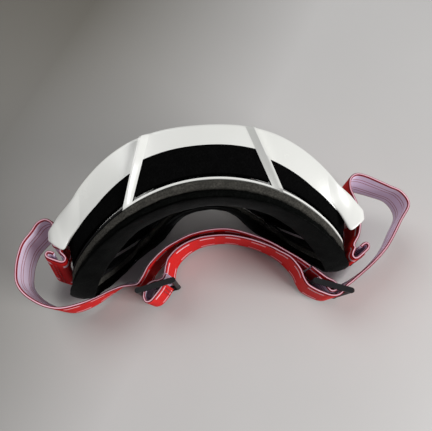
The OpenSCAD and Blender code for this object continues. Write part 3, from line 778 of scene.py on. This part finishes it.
LEFT_STOP = ((-98.3, 1.6), unit(np.array((-12.0, 5.0))), (5.6, 8.6), HIGH)
RIGHT_STOP = ((96.2, 0.9), unit(np.array((8.0, 6.0))), (-2.2, 1), HIGH - 5)
LEFT_ROUTE = stop_points(*LEFT_STOP) + [
    (-96.4, 11.5, HIGH, 2.5, 5.5), (-WAY, 17, HIGH, 0, 2.5), (-WAY, 22, HIGH, 0, 1),
    (-WAY, 27, HIGH, 0, 0), (-WAY - 0.9, 31.3, HIGH, 0, 0), (-99.8, 33.8, HIGH, 0, 0),
    (-105.5, 32, HIGH, 1, 0), (-111.5, 27, HIGH - 1, 3, 0), (-118, 20.5, HIGH - 2, 4, 0),
    (-121.5, 13.5, HIGH - 3.5, 4.5, 0), (-123.2, 6, HIGH - 5, 4.5, 0),
    (-123.5, -2, HIGH - 7, 4.5, 0), (-120, -8.5, HIGH - 9.5, 3.5, 0.5),
    (-113.5, -14, HIGH - 12, 2, 1), (-104, -18.5, HIGH - 15, 0, 1), (-95, -19.4, HIGH - 17.5, 0, 0),
    (-84, -15.2, LOW + 4, 0, -2), (-74, -8.6, LOW + 1.5, 0, -5), (-65.8, -3.4, LOW, 0, -6.6),
    (-58.5, -0.6, LOW, 0, -7.2), (-52.4, -2.2, LOW, 0, -5.2), (-48, -4.4, LOW, 0, -2.4),
    (-45.4, -3.3, LOW, 0, -0.4), (-43.2, 0, LOW, 0, 0), (-40.6, 4.5, LOW, 0, 0),
    (-36.5, 9, LOW, 0, 0), (-31.5, 13.5, LOW, 0, 0), (-25, 18.5, LOW, -0.5, -1),
    (-12, 25.5, LOW, 0, -2), (2, 28.5, LOW, 0, -2.5), (15, 28.5, LOW, 0, -3),
    (28.5, 25, LOW, 0, -4), (41, 20, LOW, 0, -5), (53, 11.5, LOW, 0, -4.5),
    (60, 5, LOW, 0, -3), (66, -2, LOW, 0, -1),
]
LEFT_END = [
    (67.2, -3.4, LOW, 0, 0), (71.4, -7.4, LOW, 0, 0), (76, -11.4, LOW, 0, 0),
    (80.4, -14, LOW, 0, 0), (82, -16.8, LOW, 0, 0), (80.8, -19.4, LOW, 0, 0),
    (77.8, -19.8, LOW, 0, 0), (75.8, -17.6, LOW, 0, 0), (74, -14, LOW, 0, 0),
    (70.8, -10.4, LOW, 0, 0),
]
RIGHT_ROUTE = stop_points(*RIGHT_STOP) + [
    (94.2, 10.5, HIGH - 3, -1, 0.5), (WAY - 0.2, 15.5, HIGH - 0.8, -0.2, 0), (WAY, 20, HIGH, 0, 0),
    (WAY, 25, HIGH, 0, 0), (WAY - 0.3, 30.5, HIGH, 0, 0), (93, 36, HIGH, 0, 0),
    (91.8, 41, HIGH, 0, 0), (92.8, 46, HIGH, 0, 1), (97, 50.5, HIGH, 0, -0.5),
    (103, 51.5, HIGH, 0, -3), (112, 49, HIGH - 1, 0, -5), (119.5, 46.5, HIGH - 2, -1.5, -5.5),
    (128.5, 43, HIGH - 3.5, -4, -5), (134.5, 37, HIGH - 6.5, -5, -4),
    (136, 29.5, HIGH - 8.5, -6, -1), (131.5, 20, HIGH - 12.5, -6, 1),
    (125.5, 9, HIGH - 16.5, -6, 1.5), (118.5, 1, LOW + 5.5, -4, 2.5),
    (109.5, -6.5, LOW + 3, -3, 2.5), (99.5, -12, LOW + 1, -1.5, 1.5), (92, -14.8, LOW, 0, 0),
    (88, -17.4, LOW, 0, 0), (85.3, -20.6, LOW, 0, 0), (81.6, -22.8, LOW, 0, 0),
    (77.4, -22.6, LOW, -0.4, 0), (73.2, -20.7, LOW, -1.2, 0.2), (69, -18.3, LOW, -1.8, 0.4),
    (65, -15, LOW, -2, 0.4), (62.8, -10.2, LOW, -2, 0.2), (60.4, -3.6, LOW, -1.4, -0.2),
    (53.8, 5.6, LOW, 0, -1.8), (47, 11.6, LOW, 0, -3.2), (40.5, 15.6, LOW, 0, -3.2),
    (28, 21, LOW, 0, -3.2), (13, 24.2, LOW, 0, -2.6), (-2, 23.4, LOW, 0, -1.8),
    (-12, 19.9, LOW, -0.4, -0.7), (-19.6, 14.6, LOW, -1.6, 0), (-24.2, 9, LOW, -2.6, 0),
    (-26, 4.2, LOW, -2.8, 0), (-27, -0.7, LOW, -2.8, 0),
]
RIGHT_END = [
    (-27.2, -1.3, LOW, -2.8, 0), (-29, -3.9, LOW, -2.2, 0), (-32.8, -5.2, LOW, -1.4, 0),
    (-37, -5.6, LOW, -0.4, 0), (-41, -7.4, LOW, 0, 0), (-43.4, -11.4, LOW, 0, 0),
    (-44, -15.4, LOW, 0, 0), (-41.6, -18.4, LOW, -1, 0), (-37.6, -18, LOW, -2, 0),
    (-33.8, -14.8, LOW, -2.6, 0), (-30.6, -10.8, LOW, -2.4, 0), (-28.4, -7.2, LOW, -2.4, 0),
]
# Rows across the webbing, as a height share and a share of the thickness. The selvage is round.
STRAP_ROWS = [(0, 0.4), (0.008, 0.8), (0.022, 1), (0.08, 1), (0.2, 1), (0.35, 1), (0.5, 1),
              (0.65, 1), (0.8, 1), (0.92, 1), (0.978, 1), (0.992, 0.8), (1, 0.4)]
STRAP_STEPS = 8
# From this height share on, and as far below, the webbing is selvage
BORDER = 0.978


def webbing_mesh(route, red_side):
    """A ribbon on edge. red_side is +1 where the red face lies to the left of the way it runs."""
    count = (len(route) - 1) * STRAP_STEPS
    places = [curve_at(route, i / STRAP_STEPS) for i in range(count + 1)]
    low = np.array([p[:3] for p in places])
    high = np.array([(p[0] + p[3], p[1] + p[4], p[2] + STRAP_WIDTH) for p in places])

    def sideways(line):
        way = np.gradient(line[:, :2], axis=0)
        way /= np.linalg.norm(way, axis=1, keepdims=True)
        return np.stack([-way[:, 1], way[:, 0], np.zeros(len(way))], axis=1) * red_side

    length = np.concatenate([[0], np.cumsum(np.linalg.norm(np.diff(low, axis=0), axis=1))])
    side_low, side_high = sideways(low), sideways(high)
    rings = []
    for i in range(count + 1):
        red, pale = [], []
        for h, share in STRAP_ROWS:
            middle = low[i] * (1 - h) + high[i] * h
            side = side_low[i] * (1 - h) + side_high[i] * h
            side = side / np.linalg.norm(side) * STRAP_THICK / 2 * share
            red.append(middle + side)
            pale.append(middle - side)
        rings.append(red + pale[::-1])
    heights = [h for h, _ in STRAP_ROWS] + [h for h, _ in STRAP_ROWS][::-1]
    return rings, heights, length


def webbing(name, route, red_side, finishes):
    rings, heights, length = webbing_mesh(route, red_side)
    m = len(heights)
    piece = make_object(name, np.array(rings).reshape(-1, 3), closed_grid(rings), finishes)
    mesh = piece.data
    layer = mesh.uv_layers.new(name="strap")
    rows = len(STRAP_ROWS)
    for face in mesh.polygons:
        columns = sorted({v % m for v in face.vertices})
        ends = [heights[c] for c in columns]
        if columns in ([rows - 1, rows], [0, m - 1]):
            face.material_index = 3
        elif min(ends) >= BORDER or max(ends) <= 1 - BORDER:
            face.material_index = 2
        else:
            face.material_index = 0 if max(columns) < rows else 1
        for corner, v in zip(face.loop_indices, face.vertices):
            layer.data[corner].uv = (length[v // m] * MM, heights[v % m] * STRAP_WIDTH * MM)
    face_outward(piece)
    return piece


def woven(name, base, dark, stripes, stripe_code, dash=0):
    """Woven webbing. Ribs run along it 1.6 mm apart, coarser than real so that they show. Its
    stripes are whole, or dashes of that length in mm."""
    made, tree, shader = start_material(name, 0.75, 1.45)
    place = add(tree, "UVMap", uv_map="strap")
    split = add(tree, "SeparateXYZ", {"Vector": place.outputs["UV"]})
    across = split.outputs["Y"]
    ribs = add(tree, "Math", {0: across, 1: 2 * math.pi / 0.0016}, operation="MULTIPLY")
    wave = add(tree, "Math", {0: ribs.outputs["Value"]}, operation="SINE")
    picks = add(tree, "Math", {0: split.outputs["X"], 1: 2 * math.pi / 0.0012},
                operation="MULTIPLY")
    pick_wave = add(tree, "Math", {0: picks.outputs["Value"]}, operation="SINE")
    weave = add(tree, "Math", {0: wave.outputs["Value"], 1: pick_wave.outputs["Value"]},
                operation="MULTIPLY")
    fuzz = add(tree, "TexNoise", {"Vector": place.outputs["UV"], "Scale": 400.0, "Detail": 5.0})
    worn = add(tree, "TexNoise", {"Vector": place.outputs["UV"], "Scale": 35.0, "Detail": 3.0})
    ground = add(tree, "Mix", {"Factor": worn.outputs["Fac"]}, data_type="RGBA")
    ground.inputs["A"].default_value = colour(base)
    ground.inputs["B"].default_value = colour(dark)
    top = ground.outputs["Result"]
    for at, width in stripes:
        away = add(tree, "Math", {0: across, 1: at * MM}, operation="SUBTRACT")
        gone = add(tree, "Math", {0: away.outputs["Value"]}, operation="ABSOLUTE")
        inside = add(tree, "MapRange", {"Value": gone.outputs["Value"], "From Min": width / 2 * MM,
                                        "From Max": (width / 2 + 0.35) * MM, "To Min": 1.0,
                                        "To Max": 0.0})
        share = inside.outputs["Result"]
        if dash:
            turn = add(tree, "Math", {0: split.outputs["X"], 1: math.pi / (dash * MM)},
                       operation="MULTIPLY")
            wave_on = add(tree, "Math", {0: turn.outputs["Value"]}, operation="SINE")
            on = add(tree, "MapRange", {"Value": wave_on.outputs["Value"], "From Min": -0.3,
                                        "From Max": -0.15})
            share = add(tree, "Math", {0: share, 1: on.outputs["Result"]},
                        operation="MULTIPLY").outputs["Value"]
        mix = add(tree, "Mix", {"Factor": share}, data_type="RGBA")
        mix.inputs["B"].default_value = colour(stripe_code)
        tree.links.new(top, mix.inputs[6])
        top = mix.outputs["Result"]
    tree.links.new(top, shader.inputs["Base Color"])
    relief = add(tree, "Math", {0: weave.outputs["Value"], 1: fuzz.outputs["Fac"]},
                 operation="ADD")
    bump = add(tree, "Bump", {"Height": relief.outputs["Value"], "Strength": 0.35,
                              "Distance": 0.0004})
    tree.links.new(bump.outputs["Normal"], shader.inputs["Normal"])
    shader.inputs["Specular IOR Level"].default_value = 0.2
    return made


red_face = woven("woven red polyester", "#E2201E", "#CC1717", [(6, 1.6), (33.5, 2.4)], "#EBC9D4", 9)
lilac_face = woven("woven lilac reverse", "#F0E2F2", "#DFCDE4",
                   [(0.7, 1.4), (9, 0.5), (13.5, 0.5), (26.5, 0.5), (31, 0.5), (39.3, 1.4)],
                   "#9A1230")
selvage = woven("dark red selvage", "#8E1420", "#6E0C18", [], "#8E1F38")
core = woven("pale webbing edge", "#F0C8D4", "#DDA0B2", [], "#8E1F38")
STRAP_FINISHES = [red_face, lilac_face, selvage, core]

left_strap = webbing("left_webbing", LEFT_ROUTE, -1, STRAP_FINISHES)
left_end = webbing("left_webbing_end", LEFT_END, -1, STRAP_FINISHES)
right_strap = webbing("right_webbing", RIGHT_ROUTE, 1, STRAP_FINISHES)
right_end = webbing("right_webbing_end", RIGHT_END, -1, STRAP_FINISHES)
for piece, body in ((left_strap, "goggles"), (left_end, "goggles"), (right_end, "left_loop")):
    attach(piece, body)
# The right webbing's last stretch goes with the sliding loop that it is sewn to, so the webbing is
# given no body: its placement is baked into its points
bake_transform(right_strap)
for piece, node in ((left_strap, "left_strap"), (left_end, "left_strap_end"),
                    (right_strap, "right_strap"), (right_end, "right_strap_end")):
    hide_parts(node)


# Stitching
# Red bonded polyester thread, two rows through each folded stop and through each end loop.
thread_red, tree, shader = start_material("bonded polyester thread", 0.5, 1.5)
place = add(tree, "TexCoord")
twist = add(tree, "TexNoise", {"Vector": place.outputs["Object"], "Scale": 2500.0, "Detail": 2.0})
tone = add(tree, "Mix", {"Factor": twist.outputs["Fac"]}, data_type="RGBA")
tone.inputs["A"].default_value = colour("#B01C26")
tone.inputs["B"].default_value = colour("#8E1420")
tree.links.new(tone.outputs["Result"], shader.inputs["Base Color"])
bump = add(tree, "Bump", {"Height": twist.outputs["Fac"], "Strength": 0.4, "Distance": 0.0002})
tree.links.new(bump.outputs["Normal"], shader.inputs["Normal"])
for node in ("left_stop_stitching", "right_stop_stitching", "left_end_stitching",
             "right_end_stitching"):
    dress(node, thread_red)


# Sliders
# Three-bar slides in black nylon, injection moulded, one on each side of the back of the strap.
black_nylon, tree, shader = start_material("moulded black nylon", 0.55, 1.53)
shader.inputs["Specular IOR Level"].default_value = 0.25
place = add(tree, "TexCoord")
grain = add(tree, "TexNoise", {"Vector": place.outputs["Object"], "Scale": 1200.0, "Detail": 4.0})
tone = add(tree, "Mix", {"Factor": grain.outputs["Fac"]}, data_type="RGBA")
tone.inputs["A"].default_value = colour("#0D0D0E")
tone.inputs["B"].default_value = colour("#17171A")
tree.links.new(tone.outputs["Result"], shader.inputs["Base Color"])
bump = add(tree, "Bump", {"Height": grain.outputs["Fac"], "Strength": 0.25, "Distance": 0.0002})
tree.links.new(bump.outputs["Normal"], shader.inputs["Normal"])
dress("left_slider", black_nylon)
dress("right_slider", black_nylon)
